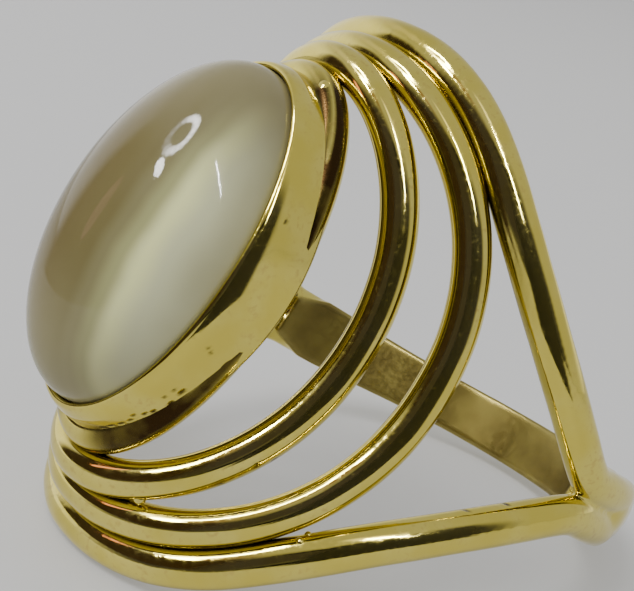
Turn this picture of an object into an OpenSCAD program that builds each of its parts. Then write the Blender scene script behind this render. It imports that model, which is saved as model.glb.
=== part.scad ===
// Gold ring with an oval moonstone in a closed bezel, held up by four bent wires.
// The ring is drawn upright first: x across the finger, y along it, z out through the stone.
// It is then laid on its side, as it lies by itself, with its lowest points at z = 0.

/* [Finger hole and shank] */
// Inner radius of the finger hole
finger_r = 8.7; // [8:0.1:9.6]
// Thickness of the shank at the middle of its width
shank_t = 1.3; // [1.25:0.05:1.6]
// Width of the shank where the outer wires run into it
shank_w = 2.8; // [2.5:0.1:3.2]
// Width of the shank at the back of the finger
shank_back_w = 2.3; // [2:0.1:2.5]
// How much lower the shank's edges are than its middle
shank_dome = 0.4; // [0.2:0.05:0.5]
// How far the back of the shank leans to one side
shank_lean = 0.7; // [0:0.1:1]

/* [Wires] */
// Width of the inner and middle wires
wire_w = 1.3; // [1.2:0.02:1.36]
// Width of the two outer wires
outer_w = 1.45; // [1.35:0.05:1.5]
// Height of the wires over the finger
wire_h = 1.24; // [1.16:0.02:1.3]
// Half length of the inner wire's oval, along the finger
inner_l = 7.95; // [7.8:0.05:8]
// Half width of the inner wire's oval, measured round the finger
inner_round = 5.7; // [5.4:0.1:6]
// Half width of the middle wire's oval, measured round the finger
middle_round = 8.25; // [8:0.05:8.4]
// How far the middle wire steps up from the outer ones at the stone's ends
middle_step = 0.7; // [0.55:0.05:0.8]
// How far the inner wire steps up from the middle one at the stone's ends
inner_step = 0.8; // [0.6:0.05:0.9]
// Distance round the finger from the stone's middle to the point of each V
point_round = 16.4; // [16:0.1:16.8]
// Half of the angle between the outer wires at the point of the V
point_angle = 29; // [25:1:32]

/* [Stone and bezel] */
// Length of the stone, along the finger
stone_l = 12.6; // [12.4:0.1:12.8]
// Width of the stone
stone_w = 8.08; // [7.9:0.02:8.3]
// Height of the dome above the bezel's edge
dome_h = 3.3; // [3:0.05:3.6]
// Height of the bezel's edge above its foot at the stone's ends
rim_h = 0.96; // [0.85:0.01:1.2]
// Thickness of the bezel's wall at its foot
bezel_t = 0.37; // [0.3:0.01:0.45]
// Radius of the hollow curve that the bezel's foot follows across the finger
foot_r = 8; // [7.6:0.1:9]
// Width of the round wire under the bezel
base_w = 1.3; // [1.25:0.05:1.4]

/* [Hidden] */
gold = [0.79, 0.69, 0.36];
moon = [0.78, 0.78, 0.72];

// The wires stand this far clear of the finger hole's surface
wire_lift = 0.03;
ride_r = finger_r + wire_lift + wire_h / 2;
// Wires that touch sink into each other by this much where they are soldered
solder_bite = 0.08;
// The wires touch at the stone's ends, each next one out a step lower
wire_mean = (wire_w + wire_h) / 2;
outer_mean = (outer_w + wire_h) / 2;
middle_l = inner_l + sqrt(pow(wire_mean - solder_bite, 2) - pow(inner_step, 2));
outer_l = middle_l + sqrt(pow((wire_mean + outer_mean) / 2 - solder_bite, 2) - pow(middle_step, 2));
// At the sides the inner wire stands this far up, and the middle one lies on the finger
inner_side_lift = 0.29;
inner_end_lift = middle_step + inner_step;
// Handles of the curve that each outer wire follows, from the stone's end to the V
end_handle = 6.6;
point_handle = 11.6;
// Length of an outer wire that lies in the shank past the V, and its distance from the
// shank's middle line
tail_l = 2.4;
tail_y = outer_w / 2 - solder_bite;
merge_power = 3;
// The wires' ovals are a little squarer than ellipses
oval_power = 0.96;
// Angles from the stone at which the shank starts, on either side
shank_start = 96;
shank_edge_r = finger_r + shank_t - shank_dome;
shank_steps = 8;
shank_rings = 57;
// Width of the shank's ends between the wires, and the drops below the middle of the hole
// at which it is at its full width and at its narrowest
shank_tip_w = 1.2;
shank_full_z = 2.4;
shank_narrow_z = finger_r - 0.3;
// The shank is drawn this much thicker inside and then bored out to the finger hole
bore_cut = 0.2;
bore_facets = 120;

wire_sides = 12;
inner_steps = 60;
middle_steps = 66;
outer_steps = 32;
tail_steps = 3;
base_steps = 48;
bezel_steps = 64;
stone_steps = 60;
dome_steps = 12;
// The dome's rings stop at this angle, just short of its top
dome_top_angle = 87;
// A wire's underside is flat from this share of its half height
flat_share = 0.72;

// Gap between the stone and the metal round and under it
seat_gap = 0.05;
// How far the bezel's wall stands out from the stone: at its lip, at its outer edge, below
// the edge, at its foot and inside
lip_out = 0.12;
edge_out = 0.27;
shoulder_out = 0.4;
foot_out = 0.57;
inside_out = 0.16;
// Height of the lip above the stone's widest line, and heights inside the wall
lip_h = 0.11;
shoulder_drop = 0.28;
ledge_h = 0.12;
// The round wire under the bezel rises this far above the inner wire's ends, and carries
// the bezel's foot
base_rise = 0.5;
base_z = ride_r + inner_end_lift + base_rise;
foot_sink = 0.06;
foot_z = base_z + base_w / 2 - foot_sink;
rim_z = foot_z + rim_h;
base_l = 6.88;
base_half_w = 3.9;
base_sag_r = 26;
// The stone's flat back has a small bevel round it
stone_base_z = base_z + base_w / 2 + seat_gap;
back_share = 0.97;
back_bevel_h = 0.12;

// An oval spread flat; the third value is how far it stands up there
function oval(length, round_w, end_lift, side_lift, steps) = [for (i = [0 : steps - 1])
    let (a = 360 * i / steps)
    [round_w * sign(cos(a)) * pow(abs(cos(a)), oval_power),
     length * sign(sin(a)) * pow(abs(sin(a)), oval_power),
     side_lift + (end_lift - side_lift) * pow(sin(a), 2)]];

function bezier(p, s) = pow(1 - s, 3) * p[0] + 3 * pow(1 - s, 2) * s * p[1]
    + 3 * (1 - s) * s * s * p[2] + pow(s, 3) * p[3];

// Half of an outer wire, spread flat: from the end of the stone to the point of the V
outer_curve = [[0, outer_l], [end_handle, outer_l],
    [point_round - point_handle * cos(point_angle), point_handle * sin(point_angle)], [point_round, 0]];

// Past the V the two outer wires run on side by side in the shank
half_run = concat(
    [for (i = [0 : outer_steps])
        let (q = bezier(outer_curve, i / outer_steps))
        [q[0], pow(pow(q[1], merge_power) + pow(tail_y, merge_power), 1 / merge_power), 0]],
    [for (i = [1 : tail_steps]) [point_round + tail_l * i / tail_steps, tail_y, 0]]);

// A whole outer wire, spread flat, for the side of the stone given by 1 or -1
function outer_run(side) = concat(
    [for (i = [len(half_run) - 1 : -1 : 1]) [-half_run[i][0], side * half_run[i][1], 0]],
    [for (q = half_run) [q[0], side * q[1], 0]]);

// The lean grows from the middle of the hole down to the back of the shank
function lean(z) = z < 0 ? shank_lean * pow(z / finger_r, 2) : 0;

// A flat point laid round the finger
function on_finger(p) = let (a = p[0] / ride_r * 180 / PI, z = ride_r * cos(a))
    [ride_r * sin(a), p[1] + lean(z), z + p[2]];
function bent(run) = [for (p = run) on_finger(p)];

// The round wire's oval under the bezel, nearly level
base_run = [for (i = [0 : base_steps - 1])
    let (a = 360 * i / base_steps, x = base_half_w * cos(a))
    [x, base_l * sin(a), base_z - x * x / (2 * base_sag_r)]];

function unit(v) = v / norm(v);

// Half round section with a flat underside, or a round one
function flat_section(w, h) = [for (j = [0 : wire_sides - 1])
    let (a = 360 * (j + 0.5) / wire_sides)
    [w / 2 * cos(a), h / 2 * max(sin(a), -flat_share)]];
function round_section(w) = [for (j = [0 : wire_sides - 1])
    let (a = 360 * j / wire_sides) w / 2 * [cos(a), sin(a)]];

// The section's corners at each point of a path, upright on the finger
function skin(path, section, closed) = let (n = len(path)) [for (i = [0 : n - 1])
    let (before = closed ? (i + n - 1) % n : max(i - 1, 0),
         after = closed ? (i + 1) % n : min(i + 1, n - 1),
         along = unit(path[after] - path[before]),
         out = unit([path[i][0], 0, path[i][2]]),
         across = unit(cross(along, out)),
         up = cross(across, along))
    for (q = section) path[i] + q[0] * across + q[1] * up];

// A solid from rings of points: the rings close in a loop, or the first and last are capped
module ring_solid(points, rings, closed) {
    m = len(points) / rings;
    last = closed ? rings - 1 : rings - 2;
    sides = [for (i = [0 : last]) for (j = [0 : m - 1])
        let (k = (j + 1) % m, a = i * m, b = ((i + 1) % rings) * m)
        each [[a + j, b + k, b + j], [a + j, a + k, b + k]]];
    end = (rings - 1) * m;
    caps = closed ? [] : [[for (j = [m - 1 : -1 : 0]) j], [for (j = [0 : m - 1]) end + j]];
    polyhedron(points = points, faces = concat(sides, caps), convexity = 8);
}

module sweep(path, section, closed) {
    ring_solid(skin(path, section, closed), len(path), closed);
}

// Half of the shank's width: it starts narrow between the wires, reaches its full width
// below the V and narrows to the back
function shank_half(z) = lookup(-z, [
    [0, shank_tip_w / 2],
    [shank_full_z, shank_w / 2],
    [shank_narrow_z, shank_back_w / 2]]);

// Domed outside of the shank from one edge to the other: radius and distance from its middle
function crown(half) = [for (i = [0 : shank_steps])
    let (y = half * (2 * i / shank_steps - 1))
    [shank_edge_r + shank_dome * (1 - pow(2 * y / shank_w, 2)), y]];

// Plain band round the back of the finger
module shank() {
    points = [for (i = [0 : shank_rings - 1])
        let (a = shank_start + (360 - 2 * shank_start) * i / (shank_rings - 1),
             z = finger_r * cos(a),
             half = shank_half(z))
        for (q = concat([[finger_r - bore_cut, half], [finger_r - bore_cut, -half]], crown(half)))
            [q[0] * sin(a), q[1] + lean(z), q[0] * cos(a)]];
    difference() {
        ring_solid(points, shank_rings, false);
        rotate([90, 0, 0])
            cylinder(h = 4 * shank_w, r = finger_r, center = true, $fn = bore_facets);
    }
}

module outer_wires() {
    for (side = [-1, 1])
        sweep(bent(outer_run(side)), flat_section(outer_w, wire_h), false);
}

module middle_wire() {
    sweep(bent(oval(middle_l, middle_round, middle_step, 0, middle_steps)),
        flat_section(wire_w, wire_h), true);
}

module inner_wire() {
    sweep(bent(oval(inner_l, inner_round, inner_end_lift, inner_side_lift, inner_steps)),
        flat_section(wire_w, wire_h), true);
}

module base_wire() {
    sweep(base_run, round_section(base_w), true);
}

// Closed wall round the stone: its edge is rubbed over, and its foot follows the finger
module bezel() {
    // Offset out from the stone, height from the edge, share of the foot's drop
    section = [
        [seat_gap, 0, 0],
        [lip_out, lip_h, 0],
        [edge_out, lip_h / 2, 0],
        [shoulder_out, -shoulder_drop, 0],
        [foot_out, -rim_h, 1],
        [foot_out - bezel_t, -rim_h, 1],
        [inside_out, -rim_h + ledge_h, 0],
        [inside_out, -shoulder_drop, 0]];
    points = [for (i = [0 : bezel_steps - 1])
        let (a = -360 * i / bezel_steps)
        for (s = section)
            let (x = (stone_w / 2 + s[0]) * cos(a), y = (stone_l / 2 + s[0]) * sin(a))
            [x, y, rim_z + s[1] - s[2] * x * x / (2 * foot_r)]];
    ring_solid(points, bezel_steps, true);
}

// High oval dome with a short straight side in the bezel and a flat back
module cabochon() {
    levels = concat([[back_share, stone_base_z], [1, stone_base_z + back_bevel_h]],
        [for (i = [0 : dome_steps]) let (a = dome_top_angle * i / dome_steps)
            [cos(a), rim_z + dome_h * sin(a)]]);
    points = [for (q = levels) for (i = [0 : stone_steps - 1])
        let (a = -360 * i / stone_steps)
        [q[0] * stone_w / 2 * cos(a), q[0] * stone_l / 2 * sin(a), q[1]]];
    ring_solid(points, len(levels), false);
}

// How far the ring leans over when it lies on its side: the back of the shank and
// the end of one outer wire touch the surface
back_crown = crown(shank_back_w / 2);
rest_edge = [shank_lean - shank_back_w / 2, -back_crown[0][0]];
rest_tilt = max([for (p = skin(bent(outer_run(-1)), flat_section(outer_w, wire_h), false))
    p[2] > 0 ? atan2(rest_edge[0] - p[1], p[2] - rest_edge[1]) : 0]);
rest_lift = -(rest_edge[0] * cos(rest_tilt) + rest_edge[1] * sin(rest_tilt));
// Reach of the dome to the front and of the shank to the back, which centre the ring
front_reach = rim_z * cos(rest_tilt)
    + norm([stone_l / 2 * sin(rest_tilt), dome_h * cos(rest_tilt)]);
back_reach = max([for (q = back_crown) (q[1] + shank_lean) * sin(rest_tilt) + q[0] * cos(rest_tilt)]);

module laid_down() {
    translate([0, (front_reach - back_reach) / 2, rest_lift])
        rotate([90 - rest_tilt, 0, 0]) children();
}

module gold_mount() {
    color(gold) laid_down() {
        shank();
        outer_wires();
        middle_wire();
        inner_wire();
        base_wire();
        bezel();
    }
}

module moonstone() {
    color(moon) laid_down() cabochon();
}

gold_mount();
moonstone();
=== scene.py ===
import math
import bpy
from mathutils import Matrix, Vector
from mathutils.bvhtree import BVHTree


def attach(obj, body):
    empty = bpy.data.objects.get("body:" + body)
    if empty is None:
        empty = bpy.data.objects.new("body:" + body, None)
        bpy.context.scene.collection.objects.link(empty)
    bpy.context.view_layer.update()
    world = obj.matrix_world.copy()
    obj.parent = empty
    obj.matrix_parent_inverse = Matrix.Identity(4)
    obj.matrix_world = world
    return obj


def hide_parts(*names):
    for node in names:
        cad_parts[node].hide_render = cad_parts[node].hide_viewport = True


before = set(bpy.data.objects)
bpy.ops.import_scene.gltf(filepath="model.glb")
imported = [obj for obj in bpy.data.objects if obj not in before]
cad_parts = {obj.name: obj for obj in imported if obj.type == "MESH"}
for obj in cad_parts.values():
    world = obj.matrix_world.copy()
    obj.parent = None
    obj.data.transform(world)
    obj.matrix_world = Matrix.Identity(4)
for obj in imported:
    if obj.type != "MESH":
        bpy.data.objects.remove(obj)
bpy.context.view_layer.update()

# Everything is drawn in the ring's own frame, in millimetres: x across the finger,
# y along it, z out through the stone. It is then laid on its side, as the source lays it.
lying = {"tiltDeg": 28.0726, "shiftY": 3.04092, "liftZ": 4.97595}
metre = 1000  # in millimetres
lean = Matrix.Rotation(math.radians(90 - lying["tiltDeg"]), 4, "X")
ringToRow = (Matrix.Scale(1 / metre, 4)
             @ Matrix.Translation((0, lying["shiftY"], lying["liftZ"])) @ lean)

# the finger hole, the wires' middle line, and the lean of the shank's back to one side
ring = {"fingerR": 8.7, "rideR": 9.35, "leanY": 0.7}


# Meshes and paths

def plainMesh(name, points, faces, edges=()):
    mesh = bpy.data.meshes.new(name)
    mesh.from_pydata([tuple(p) for p in points], list(edges), faces)
    mesh.update()
    return mesh


def linked(name, mesh):
    piece = bpy.data.objects.new(name, mesh)
    bpy.context.scene.collection.objects.link(piece)
    return piece


def ringFaces(rings, count, closed):
    # quads between rings of points, with caps at the ends of an open run
    faces = []
    for i in range(rings if closed else rings - 1):
        a, b = i * count, (i + 1) % rings * count
        for j in range(count):
            k = (j + 1) % count
            faces.append((a + j, a + k, b + k, b + j))
    if not closed:
        faces.append(tuple(range(count - 1, -1, -1)))
        faces.append(tuple(range((rings - 1) * count, rings * count)))
    return faces


def evenly(points, spacing, closed):
    # the same line with points at even spacing
    line = [Vector(p) for p in points]
    if closed:
        line.append(line[0])
    run = [0.0]
    for a, b in zip(line, line[1:]):
        run.append(run[-1] + (b - a).length)
    count = max(8, round(run[-1] / spacing))  # a short line still gets a few points
    out, seg = [], 0
    for i in range(count if closed else count + 1):
        want = run[-1] * i / count
        while seg < len(run) - 2 and run[seg + 1] < want:
            seg += 1
        share = (want - run[seg]) / max(1e-9, run[seg + 1] - run[seg])
        out.append(line[seg].lerp(line[seg + 1], min(1, share)))
    return out


def softCorners(corners, steps):
    # corners are (out, up, foot share, reach of the rounding)
    out, total = [], len(corners)
    for i, corner in enumerate(corners):
        here = Vector(corner[:3])
        before, after = Vector(corners[i - 1][:3]), Vector(corners[(i + 1) % total][:3])
        start = here + (before - here).normalized() * min(corner[3], (before - here).length / 2)
        end = here + (after - here).normalized() * min(corner[3], (after - here).length / 2)
        for s in range(steps + 1):
            t = s / steps
            out.append(start * (1 - t) ** 2 + here * 2 * t * (1 - t) + end * t * t)
    return out


def smoothStep(value, low, high):
    # from 0 at low to 1 at high, which may also be the smaller of the two
    share = min(1, max(0, (value - low) / (high - low)))
    return share * share * (3 - 2 * share)


# Geometry Nodes

def newTree(name, sizes):
    tree = bpy.data.node_groups.new(name, "GeometryNodeTree")
    tree.interface.new_socket("Geometry", in_out="INPUT", socket_type="NodeSocketGeometry")
    for label, kind in sizes:
        tree.interface.new_socket(label, in_out="INPUT", socket_type="NodeSocket" + kind)
    tree.interface.new_socket("Geometry", in_out="OUTPUT", socket_type="NodeSocketGeometry")
    return tree


def put(tree, kind, feeds=None, **settings):
    node = tree.nodes.new(kind)
    for key, value in settings.items():
        setattr(node, key, value)
    for key, value in (feeds or {}).items():
        if hasattr(value, "is_output"):
            tree.links.new(value, node.inputs[key])
        else:
            node.inputs[key].default_value = value
    return node


def maths(tree, operation, a, b=0.0, c=0.0):
    return put(tree, "ShaderNodeMath", {0: a, 1: b, 2: c}, operation=operation).outputs[0]


def runTree(host, tree, values):
    # sets the modifier's inputs by identifier, then returns the result as a plain mesh
    modifier = host.modifiers.new(tree.name, "NODES")
    modifier.node_group = tree
    for item in tree.interface.items_tree:
        if item.item_type == "SOCKET" and item.in_out == "INPUT" and item.name in values:
            modifier[item.identifier] = values[item.name]
    return settled(host, host.name)


def settled(host, name):
    bpy.context.view_layer.update()
    shown = host.evaluated_get(bpy.context.evaluated_depsgraph_get())
    mesh = bpy.data.meshes.new_from_object(shown)
    mesh.name = name
    host.modifiers.clear()
    bpy.data.objects.remove(host)
    return mesh


# the wires' finish by hand: how soft the turn to the flat underside is, and the slow swell;
# then how finely the wires are drawn
wireShape = {"turnSoftness": 0.25, "swellScale": 0.42, "swellDetail": 1.0,
             "pathPoints": 720, "spacing": 0.1, "sides": 40}


def bentWireTree():
    # a flat path, its z the height over the finger, is bent round the finger and a half
    # round wire is swept along it
    tree = newTree("bentWire", [("Ride radius", "Float"), ("Width", "Float"), ("Height", "Float"),
                                ("Flat share", "Float"), ("Sides", "Int"), ("Hand work", "Float"),
                                ("Seed", "Float"), ("Gold", "Material")])
    given = put(tree, "NodeGroupInput").outputs
    place = put(tree, "GeometryNodeInputPosition").outputs[0]
    flat = put(tree, "ShaderNodeSeparateXYZ", {0: place}).outputs
    angle = maths(tree, "DIVIDE", flat[0], given["Ride radius"])
    bent = put(tree, "ShaderNodeCombineXYZ", {
        0: maths(tree, "MULTIPLY", maths(tree, "SINE", angle), given["Ride radius"]),
        1: flat[1],
        2: maths(tree, "MULTIPLY_ADD", maths(tree, "COSINE", angle), given["Ride radius"],
                 flat[2])}).outputs[0]
    path = put(tree, "GeometryNodeMeshToCurve", {"Mesh": given["Geometry"]}).outputs[0]
    path = put(tree, "GeometryNodeSetPosition", {"Geometry": path, "Position": bent}).outputs[0]
    # the wire's top faces straight out from the finger
    outward = put(tree, "ShaderNodeVectorMath", {0: place, 1: (1, 0, 1)},
                  operation="MULTIPLY").outputs[0]
    path = put(tree, "GeometryNodeSetCurveNormal", {"Curve": path, "Normal": outward},
               mode="FREE").outputs[0]
    circle = put(tree, "GeometryNodeCurvePrimitiveCircle",
                 {"Resolution": given["Sides"], "Radius": 1.0}).outputs[0]
    low = maths(tree, "MULTIPLY", given["Flat share"], -1.0)
    up = maths(tree, "SMOOTH_MAX", flat[0], low, wireShape["turnSoftness"])
    halfHeight = maths(tree, "MULTIPLY", given["Height"], 0.5)
    halfWidth = maths(tree, "MULTIPLY", given["Width"], 0.5)
    section = put(tree, "ShaderNodeCombineXYZ", {
        0: maths(tree, "MULTIPLY", up, halfHeight),
        1: maths(tree, "MULTIPLY", flat[1], halfWidth)}).outputs[0]
    circle = put(tree, "GeometryNodeSetPosition",
                 {"Geometry": circle, "Position": section}).outputs[0]
    wire = put(tree, "GeometryNodeCurveToMesh",
               {"Curve": path, "Profile Curve": circle, "Fill Caps": True}).outputs[0]
    wave = put(tree, "ShaderNodeTexNoise", {
        "W": given["Seed"], "Scale": wireShape["swellScale"], "Detail": wireShape["swellDetail"]},
        noise_dimensions="4D").outputs[0]
    swell = maths(tree, "MULTIPLY", maths(tree, "SUBTRACT", wave, 0.5), given["Hand work"])
    normal = put(tree, "GeometryNodeInputNormal").outputs[0]
    offset = put(tree, "ShaderNodeVectorMath", {0: normal, "Scale": swell},
                 operation="SCALE").outputs[0]
    wire = put(tree, "GeometryNodeSetPosition", {"Geometry": wire, "Offset": offset}).outputs[0]
    wire = put(tree, "GeometryNodeSetShadeSmooth", {"Geometry": wire}).outputs[0]
    wire = put(tree, "GeometryNodeRealizeInstances", {"Geometry": wire}).outputs[0]
    wire = put(tree, "GeometryNodeSetMaterial",
               {"Geometry": wire, "Material": given["Gold"]}).outputs[0]
    put(tree, "NodeGroupOutput", {0: wire})
    return tree


# Finishes

def newMaterial(name):
    material = bpy.data.materials.new(name)
    material.use_nodes = True
    tree = material.node_tree
    tree.nodes.clear()
    output = tree.nodes.new("ShaderNodeOutputMaterial")
    shader = tree.nodes.new("ShaderNodeBsdfPrincipled")
    tree.links.new(shader.outputs[0], output.inputs[0])
    return material, tree, shader


def inMillimetres(tree, stretch=(1, 1, 1), turn=(0, 0, 0)):
    coords = put(tree, "ShaderNodeTexCoord").outputs["Object"]
    scale = tuple(metre * s for s in stretch)
    return put(tree, "ShaderNodeMapping",
               {"Vector": coords, "Scale": scale, "Rotation": turn}).outputs[0]


def noise(tree, place, scale, detail):
    return put(tree, "ShaderNodeTexNoise",
               {"Vector": place, "Scale": scale, "Detail": detail}).outputs[0]


def attribute(tree, name):
    return put(tree, "ShaderNodeAttribute", attribute_name=name).outputs["Fac"]


def spread(tree, value, low, high, toLow=0.0, toHigh=1.0):
    return put(tree, "ShaderNodeMapRange", {0: value, 1: low, 2: high, 3: toLow, 4: toHigh},
               interpolation_type="SMOOTHSTEP").outputs[0]


def blended(tree, share, a, b):
    node = put(tree, "ShaderNodeMix", data_type="RGBA")
    for index, value in ((0, share), (6, a), (7, b)):
        if hasattr(value, "is_output"):
            tree.links.new(value, node.inputs[index])
        else:
            node.inputs[index].default_value = value
    return node.outputs[2]


goldFinish = {
    "gold": (0.65, 0.54, 0.10, 1), "paleGold": (0.69, 0.59, 0.145, 1),
    # a dark brown for dirt and painted shade together, and two darker golds painted as shade on
    # the inside
    "dirtAndShade": (0.035, 0.019, 0.006, 1), "insideGold": (0.21, 0.165, 0.05, 1),
    "insidePale": (0.33, 0.275, 0.08, 1), "stain": (0.50, 0.35, 0.10, 1), "stainShare": 0.45,
    # roughness, and what wear, scratches, the dirt and painted shade, and the rubbed inside add
    # to it
    "polish": 0.05, "wear": 0.08, "scratchRough": 0.08, "dirtAndShadeRough": 0.18, "insideRough": 0.26,
    # noises by scale and detail
    "cloud": (0.55, 3.0), "specks": (5.0, 2.0), "wave": (0.6, 0.0), "lines": (1.0, 2.0),
    # the values of a noise between which a look comes in
    "paleFrom": (0.35, 0.65), "stainClouds": (0.4, 0.6), "stainSpecks": (0.52, 0.72),
    "insidePaleFrom": (0.3, 0.75), "wornFrom": (0.35, 0.7), "scratchFrom": (0.62, 0.72),
    "dirtAndShadeClouds": (0.3, 0.7), "dirtAndShadeShare": (0.85, 1.1),
    # two sets of long fine scratches, crossing: how each is turned and stretched
    "scratches": [((0.3, 0.5, 0.9), (9, 0.5, 9)), ((1.1, -0.4, 0.2), (0.4, 8, 8))],
    # relief: the wave's height, the scratches' depth, and the strength and reach of both
    "waveHeight": 1.8, "scratchDepth": 0.04, "reliefStrength": 0.25, "reliefMetres": 0.00002,
}


def goldColour(tree, cloud, specks, dirtAndShade, inside):
    g = goldFinish
    colour = blended(tree, spread(tree, cloud, *g["paleFrom"]), g["gold"], g["paleGold"])
    stained = maths(tree, "MULTIPLY", spread(tree, specks, *g["stainSpecks"]),
                    spread(tree, cloud, *g["stainClouds"]))
    colour = blended(tree, maths(tree, "MULTIPLY", stained, g["stainShare"]), colour, g["stain"])
    # the inside towards the finger is painted a darker gold, as shade
    shadedInside = blended(tree, spread(tree, cloud, *g["insidePaleFrom"]),
                   g["insideGold"], g["insidePale"])
    colour = blended(tree, inside, colour, shadedInside)
    return blended(tree, dirtAndShade, colour, g["dirtAndShade"])


def wornShadedGold():
    g = goldFinish
    material, tree, shader = newMaterial("wornShadedGold")
    place = inMillimetres(tree)
    cloud, specks = noise(tree, place, *g["cloud"]), noise(tree, place, *g["specks"])
    # the dark brown marks dirt and painted shade, in cloudy patches; the inside is painted a
    # darker gold as shade
    inside = attribute(tree, "inside")
    patches = spread(tree, cloud, *g["dirtAndShadeClouds"], *g["dirtAndShadeShare"])
    dirtAndShade = maths(tree, "MULTIPLY", attribute(tree, "dirtAndShade"), patches)
    dirtAndShade = put(tree, "ShaderNodeClamp", {0: dirtAndShade}).outputs[0]
    tree.links.new(goldColour(tree, cloud, specks, dirtAndShade, inside), shader.inputs["Base Color"])
    shader.inputs["Metallic"].default_value = 1.0
    scratches = []
    for turn, stretch in g["scratches"]:
        line = noise(tree, inMillimetres(tree, stretch, turn), *g["lines"])
        scratches.append(spread(tree, line, *g["scratchFrom"]))
    scratch = maths(tree, "MAXIMUM", *scratches)
    worn = spread(tree, specks, *g["wornFrom"])
    rough = maths(tree, "MULTIPLY_ADD", worn, g["wear"], g["polish"])
    for share, added in ((scratch, g["scratchRough"]), (dirtAndShade, g["dirtAndShadeRough"]),
                         (inside, g["insideRough"])):
        rough = maths(tree, "MULTIPLY_ADD", share, added, rough)
    tree.links.new(rough, shader.inputs["Roughness"])
    wave = maths(tree, "MULTIPLY", noise(tree, place, *g["wave"]), g["waveHeight"])
    relief = maths(tree, "MULTIPLY_ADD", scratch, -g["scratchDepth"], wave)
    bump = put(tree, "ShaderNodeBump", {
        "Height": relief, "Strength": g["reliefStrength"], "Distance": g["reliefMetres"]})
    tree.links.new(bump.outputs[0], shader.inputs["Normal"])
    return material


# the stone's colour with a painted sheen along it: shades by distance across it in millimetres,
# and painted fades towards its two ends, by the distances along it between which each comes in
stoneFinish = {
    "bodyAndSheenShades": [(-3.0, (0.15, 0.125, 0.06, 1)), (-0.5, (0.158, 0.126, 0.052, 1)),
               (1.4, (0.18, 0.152, 0.062, 1)), (2.0, (0.24, 0.218, 0.105, 1)),
               (2.5, (0.39, 0.385, 0.18, 1)), (3.0, (0.88, 0.90, 0.45, 1)),
               (3.5, (0.70, 0.71, 0.44, 1)), (4.1, (0.54, 0.52, 0.30, 1))],
    "paintedEndFades": [(1.0, 5.5, (0.22, 0.195, 0.10, 1)), (-1.5, -7.5, (0.34, 0.31, 0.17, 1))],
    # half the length over which the painted sheen closes in, and how far haze sways it
    "bandBend": 8.0, "haze": 0.5, "hazeNoise": (0.35, 2.0),
    # light in the stone: share, reach of red, green and blue, and reach in metres
    "milk": 0.2, "milkColours": (1.0, 0.9, 0.75), "milkMetres": 0.0005,
    "rough": 0.05, "refraction": 1.4, "mirror": 0.25,
}


def inRingFrame(tree):
    moved = put(tree, "ShaderNodeMapping", {
        "Vector": put(tree, "ShaderNodeTexCoord").outputs["Object"],
        "Scale": (metre, metre, metre),
        "Location": (0, -lying["shiftY"], -lying["liftZ"])}).outputs[0]
    turned = (-math.radians(90 - lying["tiltDeg"]), 0, 0)
    return put(tree, "ShaderNodeMapping", {"Vector": moved, "Rotation": turned}).outputs[0]


def paintedSheenAcross(tree, place, across, along):
    # the painted sheen's lines bend in towards the stone's ends, and haze sways them
    cloud = noise(tree, place, *stoneFinish["hazeNoise"])
    haze = maths(tree, "MULTIPLY", maths(tree, "SUBTRACT", cloud, 0.5), stoneFinish["haze"])
    share = maths(tree, "DIVIDE", along, stoneFinish["bandBend"])
    squared = maths(tree, "MULTIPLY", share, share)
    bend = maths(tree, "SQRT", maths(tree, "SUBTRACT", 1.0, squared))
    return maths(tree, "ADD", maths(tree, "DIVIDE", across, bend), haze)


def moonstoneMaterial():
    material, tree, shader = newMaterial("milkyMoonstone")
    place = inRingFrame(tree)
    axes = put(tree, "ShaderNodeSeparateXYZ", {0: place}).outputs
    # the stone's own colour on either side, with a painted sheen band in the middle
    bodyAndSheenShades = stoneFinish["bodyAndSheenShades"]
    low, high = bodyAndSheenShades[0][0], bodyAndSheenShades[-1][0]
    share = put(tree, "ShaderNodeMapRange",
                {0: paintedSheenAcross(tree, place, axes[0], axes[1]), 1: low, 2: high}).outputs[0]
    ramp = put(tree, "ShaderNodeValToRGB", {0: share})
    ramp.color_ramp.interpolation = "EASE"
    stops = ramp.color_ramp.elements
    for i, (at, shade) in enumerate(bodyAndSheenShades):
        stop = stops[i] if i < 2 else stops.new(1.0)
        stop.position = (at - low) / (high - low)
        stop.color = shade
    colour = ramp.outputs[0]
    # painted fades: the sheen fades out towards +y, and towards -y the stone is painted lighter
    # against the shade that end gets
    for start, end, plain in stoneFinish["paintedEndFades"]:
        away = spread(tree, maths(tree, "ABSOLUTE", axes[1]), abs(start), abs(end))
        side = maths(tree, "MULTIPLY", axes[1], math.copysign(1, end))
        side = maths(tree, "GREATER_THAN", side, 0.0)
        colour = blended(tree, maths(tree, "MULTIPLY", away, side), colour, plain)
    tree.links.new(colour, shader.inputs["Base Color"])
    shader.inputs["Subsurface Weight"].default_value = stoneFinish["milk"]
    shader.inputs["Subsurface Radius"].default_value = stoneFinish["milkColours"]
    shader.inputs["Subsurface Scale"].default_value = stoneFinish["milkMetres"]
    shader.inputs["Roughness"].default_value = stoneFinish["rough"]
    shader.inputs["IOR"].default_value = stoneFinish["refraction"]
    shader.inputs["Specular IOR Level"].default_value = stoneFinish["mirror"]
    return material


gold = wornShadedGold()
moonstoneLook = moonstoneMaterial()
wireTree = bentWireTree()


# Wires

def leanAt(z):
    return ring["leanY"] * (z / ring["fingerR"]) ** 2 if z < 0 else 0


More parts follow.
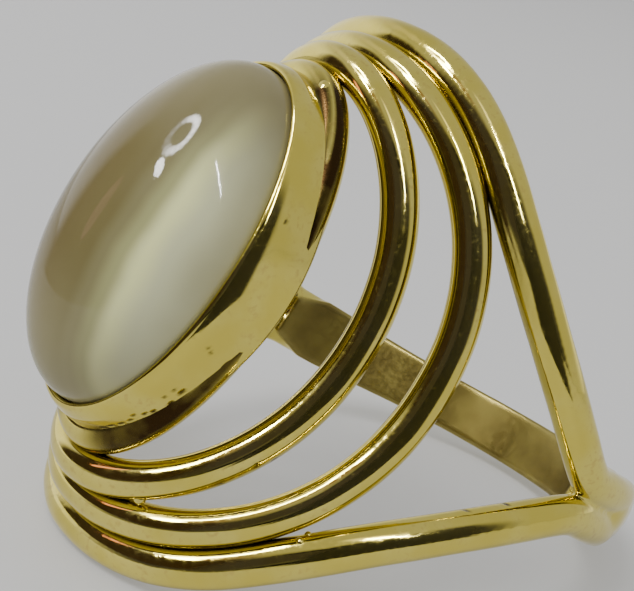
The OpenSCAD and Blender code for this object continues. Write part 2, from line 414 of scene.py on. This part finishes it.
def ovalPath(w):
    # the wire stands up higher at the stone's ends than at its sides
    points, count = [], wireShape["pathPoints"]
    for i in range(count):
        a = 2 * math.pi * i / count
        c, s = math.cos(a), math.sin(a)
        points.append((w["halfRound"] * math.copysign(abs(c) ** w["power"], c),
                       w["halfLength"] * math.copysign(abs(s) ** w["power"], s),
                       w["sideLift"] + (w["endLift"] - w["sideLift"]) * s * s))
    return evenly(points, wireShape["spacing"], True)


def pathHost(name, points, closed):
    last = len(points) if closed else len(points) - 1
    edges = [(i, (i + 1) % len(points)) for i in range(last)]
    return linked(name, plainMesh(name, points, [], edges))


def bentWire(name, points, closed, size):
    host = pathHost(name, points, closed)
    return runTree(host, wireTree, {
        "Ride radius": ring["rideR"], "Width": size["width"], "Height": size["height"],
        "Flat share": size["flatShare"], "Sides": wireShape["sides"],
        "Hand work": size["handWork"], "Seed": size["seed"], "Gold": gold})


# half sizes of each oval, spread flat, and how far it stands up at its ends and sides
innerWire = {"halfRound": 5.7, "halfLength": 7.95, "power": 0.96, "endLift": 1.5,
             "sideLift": 0.29, "width": 1.3, "height": 1.24, "flatShare": 0.72,
             "handWork": 0.05, "seed": 1.0}
middleWire = {"halfRound": 8.25, "halfLength": 8.831, "power": 0.96, "endLift": 0.7,
              "sideLift": 0.0, "width": 1.3, "height": 1.24, "flatShare": 0.72,
              "handWork": 0.05, "seed": 2.0}

# the curve's handles, the point of the V, and the tail that runs on inside the shank
outerWire = {"halfLength": 9.839, "endHandle": 6.6, "pointRound": 16.4, "pointHandle": 11.6,
             "pointAngle": 29, "mergePower": 3, "tailLength": 2.4, "tailY": 0.645,
             "curveSteps": 200, "tailSteps": 12, "width": 1.45, "height": 1.24,
             "flatShare": 0.72, "handWork": 0.05, "seed": 3.0}

meshes = {}
for name, size in (("innerWire", innerWire), ("middleWire", middleWire)):
    meshes[name] = bentWire(name, ovalPath(size), True, size)
print("inner and middle wires swept")


def outerPath(side):
    # from the end of the stone to the V, then on inside the shank, mirrored to both sides
    w = outerWire
    slope = math.radians(w["pointAngle"])
    handles = [Vector((0, w["halfLength"])), Vector((w["endHandle"], w["halfLength"])),
               Vector((w["pointRound"] - w["pointHandle"] * math.cos(slope),
                       w["pointHandle"] * math.sin(slope))), Vector((w["pointRound"], 0))]
    half = []
    for i in range(w["curveSteps"] + 1):
        t = i / w["curveSteps"]
        p = (handles[0] * (1 - t) ** 3 + handles[1] * 3 * t * (1 - t) ** 2
             + handles[2] * 3 * t * t * (1 - t) + handles[3] * t ** 3)
        merged = (p.y ** w["mergePower"] + w["tailY"] ** w["mergePower"]) ** (1 / w["mergePower"])
        half.append((p.x, side * merged, 0))
    for i in range(1, w["tailSteps"] + 1):
        tail = w["tailLength"] * i / w["tailSteps"]
        half.append((w["pointRound"] + tail, side * w["tailY"], 0))
    half = [(x, y + leanAt(ring["rideR"] * math.cos(x / ring["rideR"])), z) for x, y, z in half]
    points = [(-x, y, z) for x, y, z in reversed(half[1:])] + half
    return evenly(points, wireShape["spacing"], False)


# drops are below the middle of the finger hole; the start is an angle from the stone, where
# the shank rises out of the groove between the two wires
shankSize = {"thickness": 1.3, "dome": 0.4, "width": 2.8, "backWidth": 2.3, "tipWidth": 1.2,
             "fullDrop": 2.4, "narrowDrop": 8.4, "startDeg": 96, "riseDeg": 20,
             "startShare": 0.45, "insideRound": 0.12, "edgeRound": 0.14, "crownRound": 0.05,
             "rings": 150, "crownSteps": 12, "cornerSteps": 3}


def shankWidth(drop):
    s = shankSize
    if drop < s["fullDrop"]:
        return s["tipWidth"] + (s["width"] - s["tipWidth"]) * max(0, drop) / s["fullDrop"]
    share = smoothStep(drop, s["fullDrop"], s["narrowDrop"])
    return s["width"] + (s["backWidth"] - s["width"]) * share


def shankMesh():
    s = shankSize
    rows, steps = [], s["rings"]
    for i in range(steps + 1):
        angle = math.radians(s["startDeg"] + (360 - 2 * s["startDeg"]) * i / steps)
        drop = -math.cos(angle) * ring["fingerR"]
        half = shankWidth(drop) / 2
        rise = smoothStep(math.degrees(math.pi - abs(math.pi - angle)), s["startDeg"],
                          s["startDeg"] + s["riseDeg"])
        thickness = s["thickness"] * (s["startShare"] + (1 - s["startShare"]) * rise)
        edge = ring["fingerR"] + thickness - s["dome"]
        outline = [(side * half, ring["fingerR"], 0, s["insideRound"]) for side in (-1, 1)]
        for j in range(s["crownSteps"] + 1):
            y = half * (1 - 2 * j / s["crownSteps"])
            lift = s["dome"] * (1 - (2 * y / s["width"]) ** 2)
            rounding = s["edgeRound"] if j in (0, s["crownSteps"]) else s["crownRound"]
            outline.append((y, edge + lift, 0, rounding))
        for p in softCorners(outline, s["cornerSteps"]):
            rows.append((p.y * math.sin(angle), p.x + leanAt(-drop), p.y * math.cos(angle)))
    count = len(rows) // (steps + 1)
    return plainMesh("shank", rows, ringFaces(steps + 1, count, False))


def joined(name, parts):
    points, faces = [], []
    for mesh in parts:
        start = len(points)
        points += [v.co.copy() for v in mesh.vertices]
        faces += [tuple(start + v for v in p.vertices) for p in mesh.polygons]
    return plainMesh(name, points, faces)


# the skin's grain in millimetres, and how much and how often it is smoothed
soldering = {"voxel": 0.085, "smoothShare": 0.5, "smoothTurns": 10}


def soldered(name, parts):
    # one skin over pieces that cross, with the solder's small fillets
    host = linked(name, joined(name, parts))
    skin = host.modifiers.new("skin", "REMESH")
    skin.mode = "VOXEL"
    skin.voxel_size = soldering["voxel"]
    skin.use_smooth_shade = True
    ease = host.modifiers.new("ease", "SMOOTH")
    ease.factor = soldering["smoothShare"]
    ease.iterations = soldering["smoothTurns"]
    mesh = settled(host, name)
    mesh.materials.clear()
    mesh.materials.append(gold)
    return mesh


outerParts = [bentWire("outer", outerPath(side), False, outerWire) for side in (-1, 1)]
meshes["outerWiresAndShank"] = soldered("outerWiresAndShank", outerParts + [shankMesh()])
print("outer wires run into the shank,", len(meshes["outerWiresAndShank"].polygons), "faces")


# Bezel, and the round wire under it

stoneSize = {"length": 12.6, "width": 8.08, "domeH": 3.3, "rimZ": 12.9, "baseZ": 12.05,
             "bevel": 0.12, "backShare": 0.97, "straightSide": 0.3, "turns": 160,
             "domeRings": 60, "backRings": (0.25, 0.5, 0.75, 0.96, 1.0)}

# out is measured from the stone's widest line and height from the wall's edge; the foot
# follows a hollow curve across the finger
bezelSize = {"endHeight": 0.96, "wall": 0.37, "footRadius": 8.0, "footOut": 0.57,
             "lipOut": 0.12, "lipHeight": 0.11, "edgeOut": 0.27, "edgeHeight": 0.04,
             "shoulderOut": 0.44, "shoulderDrop": 0.32, "insideOut": 0.16, "ledge": 0.12,
             "gap": 0.03, "lipRound": 0.09, "edgeRound": 0.1, "shoulderRound": 0.2,
             "footRound": 0.06, "insideRound": 0.05, "ledgeRound": 0.03,
             "turns": 520, "spacing": 0.05, "cornerSteps": 5}
baseWire = {"halfLength": 6.88, "halfWidth": 3.9, "z": 11.35, "sagRadius": 26, "width": 1.3,
            "turns": 340, "sides": 36}

# painted shade in the hollow between bezel and base wire: the angles round the wire between which
# it starts, where it ends, and the shares of the stone's half width between which it comes in;
# then the bare gold that still glints in stripes in it, at which angle, how wide, and where round
# the stone
hollow = {"fromDeg": (-26, 10), "toDeg": 200, "sideShare": (0.1, 0.42), "glintDeg": 42,
          "glintWide": 7, "glints": 7, "glintSway": 2, "swayTurns": 3, "glintFrom": (0.1, 0.7)}


def bezelMesh():
    b, s = bezelSize, stoneSize
    corners = [
        (b["gap"], 0.0, 0, b["insideRound"]),
        (b["lipOut"], b["lipHeight"], 0, b["lipRound"]),
        (b["edgeOut"], b["edgeHeight"], 0, b["edgeRound"]),
        (b["shoulderOut"], -b["shoulderDrop"], 0, b["shoulderRound"]),
        (b["footOut"], -b["endHeight"], 1, b["footRound"]),
        (b["footOut"] - b["wall"], -b["endHeight"], 1, b["insideRound"]),
        (b["insideOut"], b["ledge"] - b["endHeight"], 0, b["ledgeRound"]),
        (b["insideOut"], -b["shoulderDrop"], 0, b["insideRound"])]
    section = evenly(softCorners(corners, b["cornerSteps"]), b["spacing"], True)
    rows, steps = [], b["turns"]
    for i in range(steps):
        a = 2 * math.pi * i / steps
        for p in section:
            x = (s["width"] / 2 + p.x) * math.cos(a)
            y = (s["length"] / 2 + p.x) * math.sin(a)
            rows.append((x, y, s["rimZ"] + p.y - p.z * x * x / (2 * b["footRadius"])))
    mesh = plainMesh("bezel", rows, ringFaces(steps, len(section), True))
    mesh.materials.append(gold)
    return mesh


# painted shade in the hollow, with stripes left bare where the gold glints
def paintedHollowShade(a, b):
    # a runs round the stone, b round the wire with 90 degrees upwards
    h, degrees = hollow, math.degrees(b)
    if degrees > h["toDeg"]:
        return 0.0
    darkening = smoothStep(degrees, *h["fromDeg"]) * smoothStep(abs(math.cos(a)), *h["sideShare"])
    glint = math.exp(-((degrees - h["glintDeg"]) / h["glintWide"]) ** 2)
    where = math.sin(h["glints"] * a + h["glintSway"] * math.sin(h["swayTurns"] * a))
    return darkening * (1 - glint * smoothStep(where, *h["glintFrom"]))


def baseWireMesh():
    w = baseWire
    rows, darkening = [], []
    for i in range(w["turns"]):
        a = -2 * math.pi * i / w["turns"]
        x, y = w["halfWidth"] * math.cos(a), w["halfLength"] * math.sin(a)
        middle = Vector((x, y, w["z"] - x * x / (2 * w["sagRadius"])))
        along = Vector((-w["halfWidth"] * math.sin(a), w["halfLength"] * math.cos(a), 0))
        along.normalize()
        across = Vector((along.y, -along.x, 0))
        for j in range(w["sides"]):
            b = 2 * math.pi * j / w["sides"]
            around = across * math.cos(b) + Vector((0, 0, math.sin(b)))
            rows.append(middle + around * w["width"] / 2)
            # the hollow under the bezel is painted in shade
            darkening.append(paintedHollowShade(a, b))
    mesh = plainMesh("baseWire", rows, ringFaces(w["turns"], w["sides"], True))
    mesh.materials.append(gold)
    mesh.attributes.new("dirtAndShade", "FLOAT", "POINT").data.foreach_set("value", darkening)
    return mesh


meshes["bezel"] = bezelMesh()
meshes["baseWire"] = baseWireMesh()
print("bezel and base wire made")


# Moonstone

def stoneMesh():
    s, count = stoneSize, stoneSize["turns"]
    rings = [(share * s["backShare"], s["baseZ"]) for share in s["backRings"]]
    rings += [(1.0, s["baseZ"] + s["bevel"]), (1.0, s["rimZ"] - s["straightSide"])]
    for i in range(s["domeRings"]):
        a = math.pi / 2 * i / s["domeRings"]
        rings.append((math.cos(a), s["rimZ"] + s["domeH"] * math.sin(a)))
    points = []
    for share, z in rings:
        for j in range(count):
            a = 2 * math.pi * j / count
            points.append((share * s["width"] / 2 * math.cos(a),
                           share * s["length"] / 2 * math.sin(a), z))
    faces = ringFaces(len(rings), count, False)[:-2]
    points += [(0, 0, s["baseZ"]), (0, 0, s["rimZ"] + s["domeH"])]
    back, top, last = len(points) - 2, len(points) - 1, (len(rings) - 1) * count
    for j in range(count):
        k = (j + 1) % count
        faces.append((back, k, j))
        faces.append((top, last + j, last + k))
    mesh = plainMesh("moonstoneDome", points, faces)
    mesh.materials.append(moonstoneLook)
    return mesh


meshes["moonstoneDome"] = stoneMesh()
print("moonstone made")


# Solder beads, dirt and painted shade where the gold pieces meet, and the marks of wear

# x, y, z, half the width and half the height of each
solderBeads = [
    (1.35, 6.62, 11.72, 0.36, 0.22), (2.4, -7.75, 10.2, 0.22, 0.2), (2.8, -7.65, 10.1, 0.26, 0.2),
    (6.79, -6.0, 6.9, 0.17, 0.13), (6.7, -5.7, 6.65, 0.14, 0.12), (1.0, 8.05, 10.7, 0.3, 0.2)]
beadShape = {"turns": 24, "rows": 12}


def beadsMesh():
    points, faces = [], []
    turns, rows = beadShape["turns"], beadShape["rows"]
    for x, y, z, wide, high in solderBeads:
        start = len(points)
        points.append((x, y, z + high))
        for i in range(1, rows):
            b = math.pi * i / rows
            for j in range(turns):
                a = 2 * math.pi * j / turns
                out = wide * math.sin(b)
                points.append((x + out * math.cos(a), y + out * math.sin(a),
                               z + high * math.cos(b)))
        points.append((x, y, z - high))
        last = len(points) - 1
        for j in range(turns):
            k = (j + 1) % turns
            faces.append((start, start + 1 + j, start + 1 + k))
            faces.append((last, last - turns + k, last - turns + j))
            for i in range(rows - 2):
                low = start + 1 + i * turns
                faces.append((low + j, low + turns + j, low + turns + k, low + k))
    mesh = plainMesh("solderBeads", points, faces)
    mesh.materials.append(gold)
    return mesh


meshes["solderBeads"] = beadsMesh()

# pits and nicks: the piece, then x, y, z, reach and depth
wearMarks = [
    ("bezel", 1.69, -6.34, 12.01, 0.07, 0.02), ("bezel", 2.0, -6.11, 12.02, 0.06, 0.02),
    ("bezel", 2.31, -5.87, 11.97, 0.06, 0.02), ("bezel", 2.63, -5.65, 11.95, 0.055, 0.02),
    ("bezel", 2.8, -5.45, 12.08, 0.05, 0.02), ("bezel", 2.97, -5.17, 11.9, 0.06, 0.02),
    ("bezel", 3.2, -5.0, 11.8, 0.065, 0.02), ("bezel", 3.47, -4.35, 12.0, 0.05, 0.02),
    ("bezel", 3.6, -4.5, 11.65, 0.07, 0.03), ("bezel", 3.85, -4.0, 11.72, 0.09, 0.04),
    ("bezel", 3.75, -4.05, 11.98, 0.05, 0.02), ("bezel", 4.2, -3.0, 11.2, 0.07, 0.03),
    ("bezel", 4.3, -2.7, 11.2, 0.085, 0.03), ("bezel", 4.35, -2.5, 11.28, 0.07, 0.03),
    ("bezel", 4.21, -2.31, 12.21, 0.05, 0.02), ("bezel", 4.22, -2.4, 12.0, 0.055, 0.02),
    ("bezel", 4.2, 2.2, 12.3, 0.06, 0.02),
    ("innerWire", 5.2, -4.67, 8.73, 0.08, 0.03), ("innerWire", 5.25, -4.23, 8.3, 0.1, 0.04),
    ("innerWire", 4.66, -5.78, 9.12, 0.08, 0.03),
    ("outerWiresAndShank", 9.08, -1.5, 2.06, 0.1, 0.04),
    ("outerWiresAndShank", 8.76, -2.35, 3.24, 0.11, 0.04)]

# how much longer than wide a mark is, as a share of its length squared, and how dark
markShape = {"stretch": 0.8, "darkness": 1.3}

# how near another piece dirt and painted shade gather, how strongly, how far it is looked for in
# reaches, and how far up the bezel it shows
contactDarkening = {"reach": 0.11, "strength": 0.7, "lookReaches": 4, "bezelFrom": 0.1}

# the shank's inside, painted a darker gold as shade and rubbed rougher: how thick that skin is,
# and the heights between which it ends
shadedAndRubbedInside = {"skin": 0.1, "endZ": (4.0, 1.0)}

# the brown flank of one outer wire: which way it faces, where along x it starts and ends, and
# how ragged it is, with the waves along x, and along x and z
brownFlank = {"share": 0.7, "facing": (0.2, 0.5), "startX": (5.6, 6.4), "endX": (9.0, 7.2),
              "ragged": 0.25, "waveX": 9, "waveXZ": (23, 7)}


def nearestOther(place, others):
    near, furthest = math.inf, contactDarkening["lookReaches"] * contactDarkening["reach"]
    for tree in others:
        distance = tree.find_nearest(place, furthest)[3]
        if distance is not None:
            near = min(near, distance)
    return near


def addContactDarkening(trees):
    c = contactDarkening
    for name, mesh in meshes.items():
        if name in ("moonstoneDome", "baseWire"):
            continue
        others = [tree for other, tree in trees.items()
                  if other not in (name, "moonstoneDome", "solderBeads")]
        mark = mesh.attributes.new("dirtAndShade", "FLOAT", "POINT")
        if name == "solderBeads":
            continue
        for v in mesh.vertices:
            # dirt and painted shade, darker the nearer another piece is
            share = c["strength"] * math.exp(-(nearestOther(v.co, others) / c["reach"]) ** 2)
            if name == "bezel":
                drop = v.co.x ** 2 / (2 * bezelSize["footRadius"])
                up = v.co.z - (stoneSize["rimZ"] - bezelSize["endHeight"] - drop)
                share *= max(0.0, 1 - up / c["bezelFrom"])
            mark.data[v.index].value = share


def pressMarks(trees):
    for name, x, y, z, reach, depth in wearMarks:
        mesh = meshes[name]
        dirtAndShade = mesh.attributes["dirtAndShade"].data
        place, normal = trees[name].find_nearest(Vector((x, y, z)))[:2]
        along = Vector((-normal.y, normal.x, 0)).normalized()
        for v in mesh.vertices:
            offset = v.co - place
            longways = markShape["stretch"] * offset.dot(along) ** 2
            share = 1 - (offset.length_squared - longways) / reach ** 2
            if share > 0:
                v.co -= normal * depth * share
                dark = min(1, markShape["darkness"] * share)
                dirtAndShade[v.index].value = max(dirtAndShade[v.index].value, dark)


def flankShare(v):
    f = brownFlank
    if v.co.y <= 0:
        return 0.0
    wave, (across, up) = math.sin(f["waveX"] * v.co.x), f["waveXZ"]
    ragged = 1 - f["ragged"] + f["ragged"] * wave * math.sin(across * v.co.x + up * v.co.z)
    return (f["share"] * ragged * smoothStep(-v.normal.y, *f["facing"])
            * smoothStep(v.co.x, *f["startX"]) * smoothStep(v.co.x, *f["endX"]))


# the inside towards the finger gets painted shade and rubbed roughness, and one outer wire its
# brown flank
def shadeAndWearShank():
    mesh, skin = meshes["outerWiresAndShank"], shadedAndRubbedInside["skin"]
    inside = mesh.attributes.new("inside", "FLOAT", "POINT").data
    dirtAndShade = mesh.attributes["dirtAndShade"].data
    for v in mesh.vertices:
        dirtAndShade[v.index].value = max(dirtAndShade[v.index].value, flankShare(v))
        depth = math.hypot(v.co.x, v.co.z) - ring["fingerR"]
        inside[v.index].value = (smoothStep(depth, 2 * skin, skin / 2)
                                 * smoothStep(v.co.z, *shadedAndRubbedInside["endZ"]))


trees = {name: BVHTree.FromPolygons([v.co for v in mesh.vertices],
                                    [p.vertices for p in mesh.polygons])
         for name, mesh in meshes.items()}
addContactDarkening(trees)
pressMarks(trees)
shadeAndWearShank()
print("dirt, beads and marks of wear made")


def laidDown(name, mesh):
    mesh.transform(ringToRow)
    mesh.update()
    for p in mesh.polygons:
        p.use_smooth = True
    return linked(name, mesh)


pieces = {name: laidDown(name, mesh) for name, mesh in meshes.items()}
for name, piece in pieces.items():
    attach(piece, "root")
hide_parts("moonstone")
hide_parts("gold_mount")


# Floor, light and camera

# a pale table, lit a little from below; its half size is in metres
tableTop = {"halfSize": 3.0, "shade": (0.33, 0.33, 0.33, 1), "rough": 0.6,
            "glow": (1, 1, 1, 1), "glowStrength": 0.29}


def addTable():
    t, half = tableTop, tableTop["halfSize"]
    corners = [(-half, -half, 0), (half, -half, 0), (half, half, 0), (-half, half, 0)]
    floor = linked("floor", plainMesh("floor", corners, [(0, 1, 2, 3)]))
    material, _, shader = newMaterial("paleFloor")
    shader.inputs["Base Color"].default_value = t["shade"]
    shader.inputs["Roughness"].default_value = t["rough"]
    shader.inputs["Emission Color"].default_value = t["glow"]
    shader.inputs["Emission Strength"].default_value = t["glowStrength"]
    floor.data.materials.append(material)


addTable()

# the camera's directions and place in the ring's frame, and its lens
camera = {
    "right": (0.56832, 0.53805, -0.62251), "down": (0.33611, -0.84237, -0.42124),
    "forward": (-0.75103, 0.03017, -0.65958), "place": (36.92, -0.433, 38.327),
    "lens": 77.595, "sensor": 36, "clipStart": 0.001,
}
turned = lean.to_3x3()
cameraData = bpy.data.cameras.new("camera")
cameraData.lens = camera["lens"]
cameraData.sensor_width = camera["sensor"]
cameraData.clip_start = camera["clipStart"]
cameraObject = bpy.data.objects.new("camera", cameraData)
bpy.context.scene.collection.objects.link(cameraObject)
axes = [turned @ Vector(camera["right"]), -(turned @ Vector(camera["down"])),
        -(turned @ Vector(camera["forward"]))]
pose = Matrix.Identity(3)
for i, axis in enumerate(axes):
    pose.col[i] = axis
pose = pose.to_quaternion().to_matrix().to_4x4()
cameraObject.matrix_world = Matrix.Translation(ringToRow @ Vector(camera["place"])) @ pose
bpy.context.scene.camera = cameraObject

# Soft studio: even light, with a dark room and bright openings where the gold mirrors them.
# Each zone is azimuth, height, turn, half width, half height (degrees), soft edge and shade.
studio = {
    "even": (0.65, 0.65, 0.63, 1),
    "zones": [
        (-170, 12, 0, 38, 24, 0.5, (1.6, 1.6, 1.6, 1)),
        (95, 3, 0, 28, 5, 0.6, (1.2, 1.2, 1.15, 1)),
        (-140, 50, 0, 40, 6, 0.6, (0.95, 0.92, 0.92, 1)),
        (-95, 45, 0, 14, 6, 0.5, (0.42, 0.3, 0.25, 1)),
        (-70, 21, 12, 46, 20, 0.35, (0.075, 0.068, 0.105, 1)),
        (-8, 10, 0, 29, 34, 0.25, (0.085, 0.085, 0.13, 1)),
        (-30, 4, 0, 34, 6, 0.5, (0.012, 0.012, 0.02, 1)),
        (-38, 37, -10, 20, 3, 0.5, (0.02, 0.018, 0.03, 1)),
        (-28, 13, -30, 4, 1.5, 0.6, (0.5, 0.5, 0.45, 1)),
        (-31, 53, -50, 15, 4, 0.5, (2.2, 2.1, 2.1, 1))],
}


def facingWay(azimuth, height):
    a, h = math.radians(azimuth), math.radians(height)
    return Vector((math.cos(h) * math.cos(a), math.cos(h) * math.sin(a), math.sin(h)))


def studioWorld():
    world = bpy.data.worlds.new("softStudio")
    world.use_nodes = True
    sky = world.node_tree
    sky.nodes.clear()
    way = put(sky, "ShaderNodeTexCoord").outputs["Generated"]
    shade = studio["even"]
    for azimuth, height, turn, wide, tall, soft, colour in studio["zones"]:
        middle = facingWay(azimuth, height)
        east = Vector((-middle.y, middle.x, 0)).normalized()
        up = middle.cross(east)
        t = math.radians(turn)
        axes = (east * math.cos(t) + up * math.sin(t),
                up * math.cos(t) - east * math.sin(t), middle)
        sizes = (math.sin(math.radians(wide)), math.sin(math.radians(tall)), 1)
        x, y, front = [put(sky, "ShaderNodeVectorMath", {0: way, 1: tuple(axis / size)},
                           operation="DOT_PRODUCT").outputs["Value"]
                       for axis, size in zip(axes, sizes)]
        squares = maths(sky, "MULTIPLY_ADD", x, x, maths(sky, "MULTIPLY", y, y))
        reach = maths(sky, "SQRT", squares)
        inside = maths(sky, "MULTIPLY", spread(sky, reach, 1 - soft, 1 + soft, 1.0, 0.0),
                       maths(sky, "GREATER_THAN", front, 0.0))
        shade = blended(sky, inside, shade, colour)
    light = put(sky, "ShaderNodeBackground", {0: shade}).outputs[0]
    put(sky, "ShaderNodeOutputWorld", {0: light})
    return world


bpy.context.scene.world = studioWorld()

# Two dark cards with soft edges stand in for the dark room by the ring; only the polished gold
# and the stone mirror them, as dark reflections: how far away, from and to which azimuth, the
# foot, the height, how much more the start of it stands up, and the shade
darkCards = {
    "rightCard": (0.04, -45, 11, 0.0, 0.035, 0.0, (0.03, 0.03, 0.05, 1)),
    "leftCard": (0.036, -146, -62, 0.006, 0.031, 0.013, (0.06, 0.034, 0.038, 1)),
}

# shares of a card that fade at its top and ends, the shares across between which the extra
# height ends, and how finely a card is drawn
cardShape = {"topFade": 0.3, "endFade": 0.14, "riseEnd": (0.45, 0.2), "rough": 0.9,
             "across": 40, "up": 12}


def addDarkCard(name, away, fromDeg, toDeg, low, high, startRise, shade):
    points, faces, solid = [], [], []
    across, up = cardShape["across"], cardShape["up"]
    for i in range(across + 1):
        a = math.radians(fromDeg + (toDeg - fromDeg) * i / across)
        end = smoothStep(min(i, across - i) / across, 0, cardShape["endFade"])
        top = high + startRise * smoothStep(i / across, *cardShape["riseEnd"])
        for j in range(up + 1):
            points.append((away * math.cos(a), away * math.sin(a), low + (top - low) * j / up))
            solid.append(end * smoothStep(1 - j / up, 0, cardShape["topFade"]))
    for i in range(across):
        for j in range(up):
            k = i * (up + 1) + j
            faces.append((k, k + up + 1, k + up + 2, k + 1))
    card = linked(name, plainMesh(name, points, faces))
    card.data.attributes.new("solid", "FLOAT", "POINT").data.foreach_set("value", solid)
    black, tree, shader = newMaterial(name)
    shader.inputs["Base Color"].default_value = shade
    shader.inputs["Roughness"].default_value = cardShape["rough"]
    tree.links.new(attribute(tree, "solid"), shader.inputs["Alpha"])
    card.data.materials.append(black)
    card.visible_camera = False
    card.visible_diffuse = False
    card.visible_shadow = False


for name, sizes in darkCards.items():
    addDarkCard(name, *sizes)

# lamps: distances and sizes in metres, turns in degrees; what isn't mirrored only lights the
# ring, and what doesn't light it only shows as a highlight
lamps = {
    "overhead": {"azimuth": -100, "height": 62, "away": 0.5, "size": (0.35, 0.35),
                 "power": 2.2, "mirrored": False},
    "spot": {"azimuth": -102, "height": 42.6, "away": 0.4, "size": (0.075, 0.034),
             "power": 0.6, "lights": False, "turn": -15},
    "tube": {"azimuth": -23, "height": 43, "away": 0.4, "size": (0.20, 0.005),
             "power": 0.8, "lights": False, "turn": -52},
    "redTube": {"azimuth": -112, "height": 17.5, "away": 0.0295, "size": (0.003, 0.009),
                "power": 0.00014, "lights": False, "colour": (1, 0.4, 0.4)},
}
aimZ = 0.01  # all lamps face a point this high above the floor, in metres


def addLamp(name, azimuth, height, away, size, power, mirrored=True, lights=True, turn=0,
            colour=(1, 1, 1)):
    data = bpy.data.lights.new(name, "AREA")
    data.shape = "ELLIPSE"
    data.size, data.size_y = size
    data.energy = power
    data.color = colour
    lamp = bpy.data.objects.new(name, data)
    lamp.location = facingWay(azimuth, height) * away + Vector((0, 0, aimZ))
    aim = (-facingWay(azimuth, height)).to_track_quat("-Z", "Y").to_matrix()
    lamp.rotation_euler = (aim @ Matrix.Rotation(math.radians(turn), 3, "Z")).to_euler()
    lamp.visible_camera = False
    lamp.visible_glossy = mirrored
    lamp.visible_diffuse = lights
    bpy.context.scene.collection.objects.link(lamp)


# a round lamp tube, in short lengths, with one side of it dim
ringLamp = {"azimuth": -114, "height": 54.5, "wideDeg": 14, "tallDeg": 7.5, "away": 0.4,
            "lengths": 16, "size": 0.032, "power": 0.11, "dimShare": 0.12, "brightDeg": 45,
            "brightFrom": (-0.9, -0.1)}


def addRingLamp():
    r = ringLamp
    for i in range(r["lengths"]):
        a = 2 * math.pi * (i + 0.5) / r["lengths"]
        facing = smoothStep(math.cos(a - math.radians(r["brightDeg"])), *r["brightFrom"])
        addLamp("ringLamp", r["azimuth"] + r["wideDeg"] * math.cos(a),
                r["height"] + r["tallDeg"] * math.sin(a), r["away"], (r["size"], r["size"]),
                r["power"] * (r["dimShare"] + (1 - r["dimShare"]) * facing), lights=False)


for name, lamp in lamps.items():
    addLamp(name, **lamp)
addRingLamp()
print("floor, light and camera placed")
